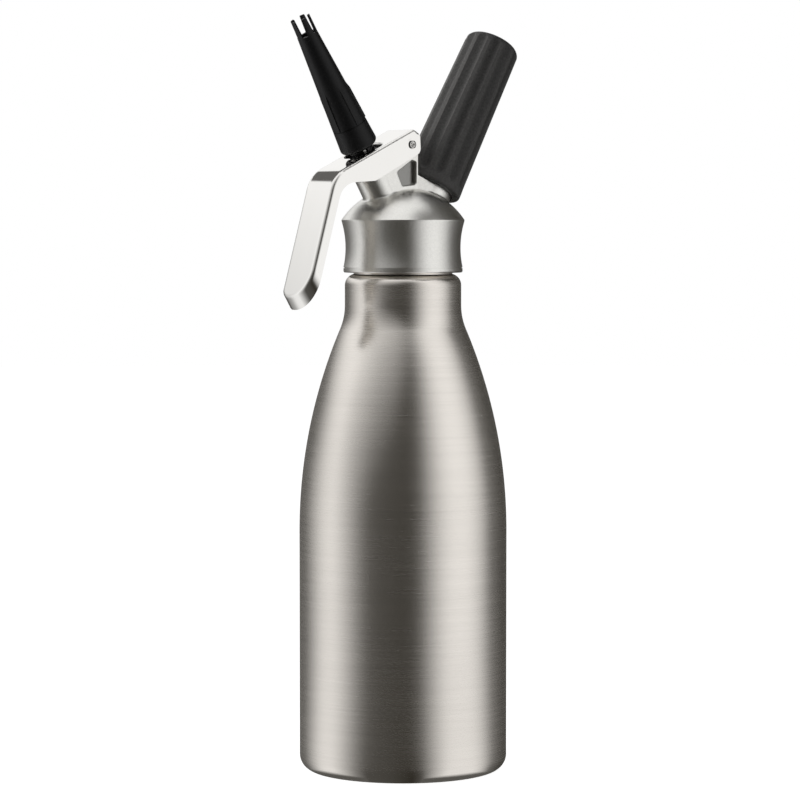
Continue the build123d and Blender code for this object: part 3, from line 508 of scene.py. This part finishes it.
def turned_steel(name, colour):
    """Bright machined steel with fine tool lines."""
    finish = Finish(name)
    lines = finish.noise((300, 300, 4200), detail=2.0)
    finish.relief(lines, depth=0.00002, strength=0.5)
    return finish.set(
        base_color=finish.mixed(lines, tone(colour, 0.85), tone(colour, 1.1)),
        metallic=1.0,
        roughness=lines * 0.2 + 0.2,
    )


def rim_shaded_pin_steel(colour, low, high):
    """Steel of a pin along Y: plain in the middle of its ends, with painted shade darkening their rims."""
    finish = Finish("pin_steel")
    x, _, z = finish.axes()
    x = x - (low.x + high.x) / 2
    z = z - (low.z + high.z) / 2
    # Painted shade: the colour darkens round the rim of each end, where the ring round the pin would be
    # shaded
    reach = (x * x + z * z) ** 0.5 * (2 / (high.x - low.x))
    rim = (reach - PIN_UNSHADED).ramp(PIN_SHADE_EDGE)
    return finish.set(
        base_color=finish.mixed(rim, tone(colour), tone(colour, 0.04)),
        metallic=1.0,
        roughness=rim * 0.3 + 0.15,
    )


def moulded_plastic(name, colour, gloss, grain_depth):
    """Moulded plastic with a fine spark-eroded grain and small changes of sheen."""
    finish = Finish(name)
    grain = finish.noise(SPARK_GRAIN, detail=3.0, rough=0.6)
    sheen = finish.noise((120, 120, 60), detail=2.0)
    finish.relief(grain, depth=grain_depth, strength=0.7)
    return finish.set(
        base_color=finish.mixed(grain, tone(colour, 0.75), tone(colour, 1.3)),
        roughness=sheen * 0.12 + grain * 0.08 + gloss,
        specular_ior_level=0.25,
    )


def fluted_plastic(colour, sizes):
    """Coarse-grained plastic of the holder with random pale and dark specks, and painted shade darkening it
    towards the floor of its flutes.
    """
    finish = Finish("holder_plastic")
    grain = finish.noise(SPARK_GRAIN, detail=3.0, rough=0.6)
    speck = finish.noise((1100, 1100, 1100), detail=2.0, rough=0.6)
    x, y, z = finish.axes()
    up = z - sizes.charger_z
    along = up * math.cos(sizes.charger_lean) - x * math.sin(sizes.charger_lean)
    aside = up * math.sin(sizes.charger_lean) + x * math.cos(sizes.charger_lean)
    reach = (aside * aside + y * y) ** 0.5
    flute_floor = sizes.holder_girth - sizes.flute_depth
    # Painted shade: ridge is 1 on the ridges and falls to 0 at the flutes' floor, so the colour darkens in
    # the flutes as if they were shaded; the specks add random tone
    ridge = (reach + along * sizes.holder_taper - flute_floor).ramp(sizes.flute_depth)
    pale = (ridge * 0.55 + (speck - 0.5) * 0.9 + 0.25).bounded(0.0, 1.0)
    finish.relief(grain, depth=0.00006, strength=0.7)
    return finish.set(
        base_color=finish.mixed(pale, tone(colour, 0.35), tone(colour, 1.3)),
        roughness=grain * 0.14 + 0.45,
        specular_ior_level=0.2,
    )


def seal_rubber(colour):
    """Dull black rubber with a powdery bloom."""
    finish = Finish("seal_rubber")
    bloom = finish.noise((400, 400, 400), detail=3.0)
    finish.relief(bloom, depth=0.00003, strength=0.5)
    return finish.set(
        base_color=finish.mixed(bloom, tone(colour, 0.7), tone(colour, 1.8)),
        roughness=bloom * 0.2 + 0.6,
    )


def slanted(lean, x, z):
    """Matrix that carries the Z axis onto a slanted axis through a datum."""
    return Matrix.Translation((x, 0, z)) @ Matrix.Rotation(-lean, 4, "Y")


def made_piece(name, shape, material, body, sharp=35.0):
    """New mesh piece, smooth but for edges over the sharp angle in degrees, that rides on a body."""
    points, faces = shape
    mesh = bpy.data.meshes.new(name)
    mesh.from_pydata(points, [], faces)
    work = bmesh.new()
    work.from_mesh(mesh)
    bmesh.ops.remove_doubles(work, verts=work.verts, dist=MERGE_DISTANCE)
    bmesh.ops.recalc_face_normals(work, faces=work.faces)
    work.to_mesh(mesh)
    work.free()
    mesh.shade_smooth()
    mesh.set_sharp_from_angle(angle=math.radians(sharp))
    mesh.materials.append(material)
    piece = bpy.data.objects.new(name, mesh)
    bpy.context.scene.collection.objects.link(piece)
    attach(piece, body)
    return piece


def lathe(outline, segments, closed=True):
    """Points and faces of an outline, given as (radius, along), turned round the Z axis."""
    points = []
    faces = []
    rows = len(outline)
    for step in range(segments):
        turn = math.tau * step / segments
        points += [(radius * math.cos(turn), radius * math.sin(turn), along) for radius, along in outline]
        here = step * rows
        there = (step + 1) % segments * rows
        for row in range(rows if closed else rows - 1):
            after = (row + 1) % rows
            low_axis = outline[row][0] < AXIS_REACH
            high_axis = outline[after][0] < AXIS_REACH
            if low_axis and high_axis:
                continue
            if low_axis:
                faces.append((here + row, there + after, here + after))
            elif high_axis:
                faces.append((here + row, there + row, here + after))
            else:
                faces.append((here + row, there + row, there + after, here + after))
    return points, faces


def arc(centre, radius, start, end, steps):
    """Points of an arc from one angle to another, in degrees."""
    made = []
    for step in range(steps + 1):
        turn = math.radians(start + (end - start) * step / steps)
        made.append((centre[0] + radius * math.cos(turn), centre[1] + radius * math.sin(turn)))
    return made


def helix(place, radius, foot, head, turns, steps):
    """Stations of a right-hand helix round a placed Z axis: share gone, origin, outward and along."""
    axes = place.to_3x3()
    along = axes @ Vector((0, 0, 1))
    stations = []
    for step in range(steps + 1):
        gone = step / steps
        turn = math.tau * turns * gone
        outward = axes @ Vector((math.cos(turn), math.sin(turn), 0))
        origin = place @ Vector((0, 0, foot + (head - foot) * gone)) + outward * radius
        stations.append((gone, origin, outward, along))
    return stations


def swept(profile, path):
    """Points and faces of a profile carried along stations of origin, outward, along and scale."""
    points = []
    faces = []
    count = len(profile)
    for origin, outward, along, scale in path:
        for out, up in profile:
            points.append(origin + outward * (out * scale) + along * (up * scale))
    for here in range(0, (len(path) - 1) * count, count):
        for index in range(count):
            after = (index + 1) % count
            faces.append((here + index, here + after, here + count + after, here + count + index))
    last = (len(path) - 1) * count
    faces.append(tuple(range(count)))
    faces.append(tuple(last + index for index in reversed(range(count))))
    return points, faces


def thread(place, root, crest, foot, head, pitch, steps):
    """Points and faces of one right-hand thread ridge that fades out at both ends."""
    turns = (head - foot) / pitch
    path = []
    for gone, origin, outward, along in helix(place, root, foot, head, turns, int(turns * steps)):
        from_end = turns * min(gone, 1.0 - gone)
        path.append((origin, outward, along, min(1.0, THREAD_GROWTH * from_end + THREAD_END)))
    profile = [((crest - root) * out, pitch * up) for out, up in THREAD_SECTION]
    return swept(profile, path)


def bottle_line(sizes, inset, root):
    """Wall line of the bottle from the base's centre to the thread's root, moved in by inset."""
    shift = inset * (math.hypot(sizes.ring_run, sizes.ring_rise) - sizes.ring_run) / sizes.ring_rise
    across = sizes.neck_radius + sizes.neck_fillet - sizes.radius + sizes.shoulder
    reach = sizes.shoulder + sizes.neck_fillet
    rise = math.sqrt(reach ** 2 - across ** 2)
    lean = math.degrees(math.asin(rise / reach))
    corner = sizes.base_corner
    hollow = (sizes.neck_radius + sizes.neck_fillet, sizes.barrel_top + rise)
    neck_centre = sizes.neck_radius - sizes.neck_corner
    neck_arc = sizes.neck_corner - inset
    turn_in = math.degrees(math.acos((root - neck_centre) / neck_arc))
    line = [
        (0.0, inset),
        (sizes.ring_inner - shift - sizes.ring_land, inset),
        (sizes.ring_inner - shift, inset),
        (sizes.ring_inner + sizes.ring_run - shift, sizes.ring_rise + inset),
        (sizes.ring_outer - sizes.ring_run + shift, sizes.ring_rise + inset),
        (sizes.ring_outer + shift, inset),
        (sizes.ring_outer + shift + sizes.ring_land, inset),
    ]
    line += arc((sizes.radius - corner, corner), corner - inset, -90, 0, steps=14)
    line += [(sizes.radius - inset, height) for height in BARREL_ROWS]
    line += arc((sizes.radius - sizes.shoulder, sizes.barrel_top), sizes.shoulder - inset, 0, lean, steps=40)
    line += arc(hollow, sizes.neck_fillet + inset, 180 + lean, 180, steps=16)[1:]
    line += arc((neck_centre, sizes.neck_top), neck_arc, 0, turn_in, steps=12)
    return line


def assign(material, *nodes):
    """Gives carried-over solids their finish."""
    for node in nodes:
        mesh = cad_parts[node].data
        mesh.materials.clear()
        mesh.materials.append(material)


class WHIPPER_OT_bottle(bpy.types.Operator):
    """Turn the brushed bottle with its hollow inside and the thread on its neck"""

    bl_idname = "whipper.bottle"
    bl_label = "Bottle"

    def execute(self, context):
        sizes = context.scene.whipper_bottle
        steel = brushed_steel(context.scene.whipper_finishes.steel)
        outside = bottle_line(sizes, 0.0, sizes.thread_root)
        inside = bottle_line(sizes, sizes.wall, sizes.thread_root - sizes.rim_wall)
        roll = (sizes.thread_root - sizes.rim_wall / 2, sizes.height - sizes.rim_round)
        outside += [(sizes.thread_root, sizes.height - sizes.rim_drop)]
        outside += arc(roll, sizes.rim_round, 20, 160, steps=6)
        shape = lathe(outside + inside[::-1], sizes.segments)
        shell = made_piece("bottle_shell", shape, steel, "bottle_body")
        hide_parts("bottle")
        shape = thread(
            Matrix.Identity(4),
            root=sizes.thread_root,
            crest=sizes.thread_crest,
            foot=sizes.neck_top + sizes.thread_start,
            head=sizes.height - sizes.thread_stop,
            pitch=sizes.thread_pitch,
            steps=72,
        )
        made_piece("neck_thread", shape, steel, "bottle_body", sharp=50.0)
        return {"FINISHED"}


class WHIPPER_OT_head(bpy.types.Operator):
    """Finish the cast head and cut the thread on its spigot"""

    bl_idname = "whipper.head"
    bl_label = "Head"

    def execute(self, context):
        sizes = context.scene.whipper_valve
        casting = blasted_aluminium(context.scene.whipper_finishes.aluminium, sizes)
        assign(casting, "head")
        shape = thread(
            slanted(sizes.charger_lean, 0.0, sizes.charger_z),
            root=sizes.spigot_thread_root,
            crest=sizes.spigot_thread_crest,
            foot=sizes.spigot_thread_foot,
            head=sizes.spigot_thread_head,
            pitch=sizes.spigot_thread_pitch,
            steps=48,
        )
        made_piece("spigot_thread", shape, casting, "head_body", sharp=50.0)
        return {"FINISHED"}


class WHIPPER_OT_lever(bpy.types.Operator):
    """Finish the chromed lever and its pin"""

    bl_idname = "whipper.lever"
    bl_label = "Lever"

    def execute(self, context):
        colours = context.scene.whipper_finishes
        assign(polished_chrome(colours.chrome, context.scene.whipper_valve), "lever")
        assign(rim_shaded_pin_steel(colours.machined, *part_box("lever_pin")), "lever_pin")
        return {"FINISHED"}


class WHIPPER_OT_nozzle(bpy.types.Operator):
    """Finish the nozzle, its insert and the presser plate"""

    bl_idname = "whipper.nozzle"
    bl_label = "Nozzle"

    def execute(self, context):
        colours = context.scene.whipper_finishes
        assign(moulded_plastic("black_plastic", colours.black, gloss=0.3, grain_depth=0.00002), "nozzle")
        assign(moulded_plastic("plate_plastic", colours.black, gloss=0.22, grain_depth=0.00001), "lever_pad")
        assign(turned_steel("insert_steel", colours.machined), "nozzle_insert")
        return {"FINISHED"}


class WHIPPER_OT_valve(bpy.types.Operator):
    """Wind the valve's spring and finish the pieces round it"""

    bl_idname = "whipper.valve"
    bl_label = "Valve"

    def execute(self, context):
        sizes = context.scene.whipper_valve
        colours = context.scene.whipper_finishes
        steel = turned_steel("turned_steel", colours.machined)
        place = slanted(sizes.nozzle_lean, sizes.nozzle_x, sizes.nozzle_z)
        half = sizes.spring_wire / 2
        low = sizes.spring_foot + half
        high = sizes.spring_head - half
        turns = sizes.spring_turns
        coil = helix(place, sizes.spring_radius, low, high, turns, int(turns * SPRING_STEPS))
        wire = arc((0.0, 0.0), half, 0, 360 - 360 / WIRE_SIDES, steps=WIRE_SIDES - 1)
        shape = swept(wire, [(origin, outward, along, 1.0) for _, origin, outward, along in coil])
        spring = made_piece("coiled_spring", shape, steel, "head_body", sharp=60.0)
        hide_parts("valve_spring")
        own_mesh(spring)
        assign(steel, "valve_stem", "valve_washer", "valve_nut")
        assign(seal_rubber(colours.rubber), "valve_seal", "stem_o_ring", "head_gasket")
        assign(moulded_plastic("bush_plastic", colours.bush, gloss=0.4, grain_depth=0.00001), "stem_bush")
        return {"FINISHED"}


class WHIPPER_OT_charger(bpy.types.Operator):
    """Finish the holder, the gas charger and the needle with its seals"""

    bl_idname = "whipper.charger"
    bl_label = "Charger"

    def execute(self, context):
        colours = context.scene.whipper_finishes
        assign(fluted_plastic(colours.holder, context.scene.whipper_valve), "charger_holder")
        steel = turned_steel("charger_steel", colours.machined)
        assign(steel, "gas_charger", "piercing_pin", "inlet_nut")
        assign(seal_rubber(colours.rubber), "charger_seal", "inlet_seal", "non_return_sleeve")
        return {"FINISHED"}


def toward(stage, turn, rise, reach):
    """Point at a reach from the aim, turned off the camera's side and raised, both in degrees."""
    around = stage.camera_turn - math.radians(turn)
    run = reach * math.cos(math.radians(rise))
    climb = reach * math.sin(math.radians(rise))
    return AIM + Vector((-run * math.sin(around), -run * math.cos(around), climb))


def aimed(centre):
    """Matrix that places something at a point and turns its -Z axis to the aim."""
    return Matrix.Translation(centre) @ (AIM - centre).to_track_quat("-Z", "Y").to_matrix().to_4x4()


def soft_lamp(name, brightness, centre, wide, tall):
    """Area lamp with a stated brightness of its face, which reflections don't see."""
    data = bpy.data.lights.new(name, "AREA")
    data.shape = "RECTANGLE"
    data.size = wide
    data.size_y = tall
    data.energy = brightness * LAMP_WATTS * wide * tall
    lamp = bpy.data.objects.new(name, data)
    lamp.matrix_world = aimed(centre)
    lamp.visible_glossy = False
    bpy.context.scene.collection.objects.link(lamp)


def reflected_only(name, shape, material):
    """Screen that only the reflections in the object see."""
    points, faces = shape
    mesh = bpy.data.meshes.new(name)
    mesh.from_pydata(points, [], faces)
    mesh.materials.append(material)
    screen = bpy.data.objects.new(name, mesh)
    screen.visible_camera = False
    screen.visible_diffuse = False
    screen.visible_shadow = False
    screen.visible_transmission = False
    bpy.context.scene.collection.objects.link(screen)
    return screen


def shade_cloth(finish, cover, tint):
    """Dark cloth that covers by a value from 0, clear, to 1."""
    dark = finish.node("ShaderNodeEmission", {}, {"Color": tint, "Strength": 1.0})
    clear = finish.node("ShaderNodeBsdfTransparent", {}, {})
    sockets = {0: cover, 1: clear.outputs[0], 2: dark.outputs[0]}
    return finish.show(finish.node("ShaderNodeMixShader", {}, sockets))


def tent_cloth(stage):
    """Cloth of the tent: dark towards the camera and behind, clear at the two sides."""
    finish = Finish("tent_cloth")
    x, y, z = finish.axes()
    heading = x.math("ARCTAN2", x * -1.0, y * -1.0) - stage.camera_turn
    reach = (x * x + y * y) ** 0.5
    # A place on the floor is mirrored under the wall at twice its turn beside the bottle,
    # and at its own turn far off
    spread = (reach ** -2.0) * stage.tent_foot ** 2 + 1.0
    turned = heading.math("WRAP", heading, math.pi, -math.pi) * spread
    round_share = (turned * (-1.0 / math.tau) + 0.5).bounded(0.0, 1.0)
    turns, *columns = zip(*TENT)
    ramps = []
    for column in columns:
        stops = [((turn + 180) / 360, grey(entry)) for turn, entry in zip(turns, column)]
        ramps.append(finish.node("ShaderNodeValToRGB", {"stops": stops}, {0: round_share}))
    dark, rise, run = (finish.value(ramp.outputs[0]) for ramp in ramps)
    wall = dark * ((rise - z) * run ** -1.0 + 1.0).bounded(0.0, 1.0)
    # Painted shade on the tent's floor as reflections see it: full contact shade under the bottle's foot,
    # thinning out to a faint least cover over the rest of the floor
    inward = (stage.contact - reach) * (1.0 / stage.contact_fade) + 1.0
    under = inward.bounded(stage.tent_floor, stage.contact_cover)
    on_floor = (2.0 - z * (1.0 / stage.tent_lift)).bounded(0.0, 1.0)
    return shade_cloth(finish, wall.most(under * on_floor), tone(stage.cloth))


def flag_cloth(stage, name, depth):
    """Cloth of a flag that thins out towards its edges."""
    finish = Finish(name)
    x, y, _ = finish.axes()
    cover = (1.0 - abs(x)).ramp(FLAG_EDGE) * (1.0 - abs(y)).ramp(FLAG_EDGE) * depth
    return shade_cloth(finish, cover, tone(stage.cloth))


def flag(stage, name, centre, wide, tall, depth):
    """Small dark flag before the sky."""
    shape = ([(-1, -1, 0), (1, -1, 0), (1, 1, 0), (-1, 1, 0)], [(0, 1, 2, 3)])
    screen = reflected_only(name, shape, flag_cloth(stage, name, depth))
    screen.matrix_world = aimed(centre) @ Matrix.Diagonal((wide / 2, tall / 2, 1, 1))


class WHIPPER_OT_stage(bpy.types.Operator):
    """Lay the floor and set the world, the lamps, the dark cloths and the camera"""

    bl_idname = "whipper.stage"
    bl_label = "Stage"

    def execute(self, context):
        scene = context.scene
        stage = scene.whipper_stage
        scene.view_settings.view_transform = "Standard"
        self.lay_floor(scene, stage)
        self.set_world(scene, stage)
        for name, turn, rise, reach, wide, tall in LAMPS:
            soft_lamp(name, getattr(stage, name), toward(stage, turn, rise, reach), wide, tall)
        self.hang_tent(stage)
        for name, turn, rise, reach, wide, tall, depth in FLAGS:
            flag(stage, name, toward(stage, turn, rise, reach), wide, tall, depth)
        self.set_camera(scene, stage)
        return {"FINISHED"}

    def lay_floor(self, scene, stage):
        """Pale floor that shows nearly white and keeps the object's shadow."""
        work = bmesh.new()
        bmesh.ops.create_circle(work, cap_ends=True, segments=STAGE_SEGMENTS, radius=stage.floor_radius)
        mesh = bpy.data.meshes.new("floor")
        work.to_mesh(mesh)
        work.free()
        finish = Finish("floor_white")
        finish.set(base_color=grey(FLOOR_BOUNCE), roughness=0.9, specular_ior_level=0.1)
        mirrored = finish.node("ShaderNodeLightPath", {}, {}).outputs["Is Glossy Ray"]
        lit = finish.mixed(mirrored, grey(FLOOR_LIT), grey(0.0))
        glare = finish.mixed(mirrored, grey(FLOOR_GLOW), grey(FLOOR_MIRRORED))
        pale = finish.node("ShaderNodeBsdfDiffuse", {}, {"Color": lit})
        glow = finish.node("ShaderNodeEmission", {}, {"Color": glare, "Strength": 1.0})
        both = finish.node("ShaderNodeAddShader", {}, {0: pale.outputs[0], 1: glow.outputs[0]})
        sockets = {0: finish.shown(), 1: finish.shader.outputs[0], 2: both.outputs[0]}
        mesh.materials.append(finish.show(finish.node("ShaderNodeMixShader", {}, sockets)))
        floor = bpy.data.objects.new("floor", mesh)
        scene.collection.objects.link(floor)

    def set_world(self, scene, stage):
        """Sky that shows white and lights the object by its own level."""
        world = bpy.data.worlds.new("white_studio")
        world.use_nodes = True
        made = Nodes(world.node_tree)
        strength = made.shown() * (1.0 - stage.sky) + stage.sky
        back = made.node("ShaderNodeBackground", {}, {"Color": grey(1.0), "Strength": strength})
        made.node("ShaderNodeOutputWorld", {}, {"Surface": back.outputs[0]})
        scene.world = world

    def hang_tent(self, stage):
        """Round tent of dark cloth, open at the top, with a floor round the bottle's foot."""
        line = (
            (stage.tent_foot, stage.tent_lift),
            (stage.tent_radius, stage.tent_lift),
            (stage.tent_radius, stage.tent_height),
        )
        reflected_only("tent", lathe(line, STAGE_SEGMENTS, closed=False), tent_cloth(stage))

    def set_camera(self, scene, stage):
        """Camera that looks at the object from its lever's side."""
        data = bpy.data.cameras.new("camera")
        data.lens = stage.lens
        data.sensor_width = 36.0
        data.sensor_fit = "HORIZONTAL"
        camera = bpy.data.objects.new("camera", data)
        turn = stage.camera_turn
        camera.location = (
            -stage.camera_reach * math.sin(turn),
            -stage.camera_reach * math.cos(turn),
            stage.camera_height,
        )
        camera.rotation_euler = (math.pi / 2 - stage.camera_pitch, 0, -turn - stage.camera_yaw)
        scene.collection.objects.link(camera)
        scene.camera = camera


class WHIPPER_PT_panel(bpy.types.Panel):
    """Sizes, colours and steps of the cream whipper"""

    bl_label = "Cream Whipper"
    bl_idname = "WHIPPER_PT_panel"
    bl_space_type = "VIEW_3D"
    bl_region_type = "UI"
    bl_category = "Whipper"

    def draw(self, context):
        for group in GROUPS:
            settings = getattr(context.scene, group)
            box = self.layout.box()
            for key in settings.bl_rna.properties.keys():
                if key not in ("rna_type", "name"):
                    box.prop(settings, key)
        for step in STEPS:
            self.layout.operator(step.bl_idname)


GROUPS = {
    "whipper_bottle": BottleSizes,
    "whipper_valve": ValveSizes,
    "whipper_finishes": Finishes,
    "whipper_stage": StageSettings,
}
STEPS = (
    WHIPPER_OT_stage,
    WHIPPER_OT_bottle,
    WHIPPER_OT_head,
    WHIPPER_OT_lever,
    WHIPPER_OT_nozzle,
    WHIPPER_OT_valve,
    WHIPPER_OT_charger,
)


def register():
    for kind in (*GROUPS.values(), *STEPS, WHIPPER_PT_panel):
        bpy.utils.register_class(kind)
    for name, kind in GROUPS.items():
        setattr(bpy.types.Scene, name, PointerProperty(type=kind))


def unregister():
    for name in GROUPS:
        delattr(bpy.types.Scene, name)
    for kind in (WHIPPER_PT_panel, *reversed(STEPS), *reversed(GROUPS.values())):
        bpy.utils.unregister_class(kind)


def main():
    register()
    bpy.ops.whipper.stage()
    bpy.ops.whipper.bottle()
    bpy.ops.whipper.head()
    bpy.ops.whipper.lever()
    bpy.ops.whipper.nozzle()
    bpy.ops.whipper.valve()
    bpy.ops.whipper.charger()


if __name__ == "__main__":
    main()
